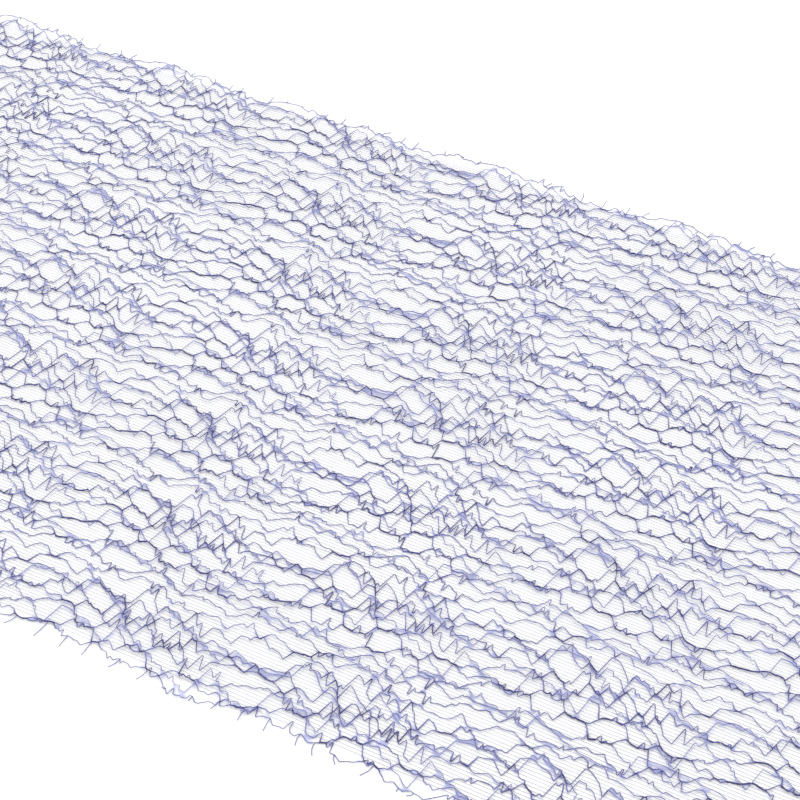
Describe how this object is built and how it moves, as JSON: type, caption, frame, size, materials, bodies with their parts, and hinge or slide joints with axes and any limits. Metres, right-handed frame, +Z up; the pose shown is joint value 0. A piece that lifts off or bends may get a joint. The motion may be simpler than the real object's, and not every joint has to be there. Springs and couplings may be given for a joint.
{
  "type": "web netting strip",
  "caption": "Flat strip of dark blue irregular web netting, crinkled threads bonded over fine filaments, laid out as decorative fishing net.",
  "frame": {"origin": "middle of the strip in plan, on the surface that it lies on", "axes": "+X along the strip's length, +Y across it towards the far slit edge, +Z up"},
  "size_m": [0.5, 0.3, 0.0009],
  "materials": {
    "strand_navy": "dark navy crinkled thread with a dull sheen",
    "strand_blue": "mid blue crinkled thread with a dull sheen",
    "filament_pale": "fine pale blue monofilament, slightly shiny",
    "bond_film": "thin see-through pale blue bonded film"
  },
  "bodies": {
    "root": {"row_1_lower_strands": "strand_navy", "row_1_upper_strands": "strand_blue", "row_1_roving_strands": "strand_blue", "row_1_fine_filaments": "filament_pale", "row_1_bond_film": "bond_film", "row_2_lower_strands": "strand_navy", "row_2_upper_strands": "strand_blue", "row_2_roving_strands": "strand_blue", "row_2_fine_filaments": "filament_pale", "row_2_bond_film": "bond_film", "row_3_lower_strands": "strand_navy", "row_3_upper_strands": "strand_blue", "row_3_roving_strands": "strand_blue", "row_3_fine_filaments": "filament_pale", "row_3_bond_film": "bond_film", "row_4_lower_strands": "strand_navy", "row_4_upper_strands": "strand_blue", "row_4_roving_strands": "strand_blue", "row_4_fine_filaments": "filament_pale", "row_4_bond_film": "bond_film", "row_5_lower_strands": "strand_navy", "row_5_upper_strands": "strand_blue", "row_5_roving_strands": "strand_blue", "row_5_fine_filaments": "filament_pale", "row_5_bond_film": "bond_film", "row_6_lower_strands": "strand_navy", "row_6_upper_strands": "strand_blue", "row_6_roving_strands": "strand_blue", "row_6_fine_filaments": "filament_pale", "row_6_bond_film": "bond_film", "row_7_lower_strands": "strand_navy", "row_7_upper_strands": "strand_blue", "row_7_roving_strands": "strand_blue", "row_7_fine_filaments": "filament_pale", "row_7_bond_film": "bond_film", "far_edge_whiskers": "strand_blue", "near_edge_whiskers": "strand_blue"}
  },
  "joints": []
}
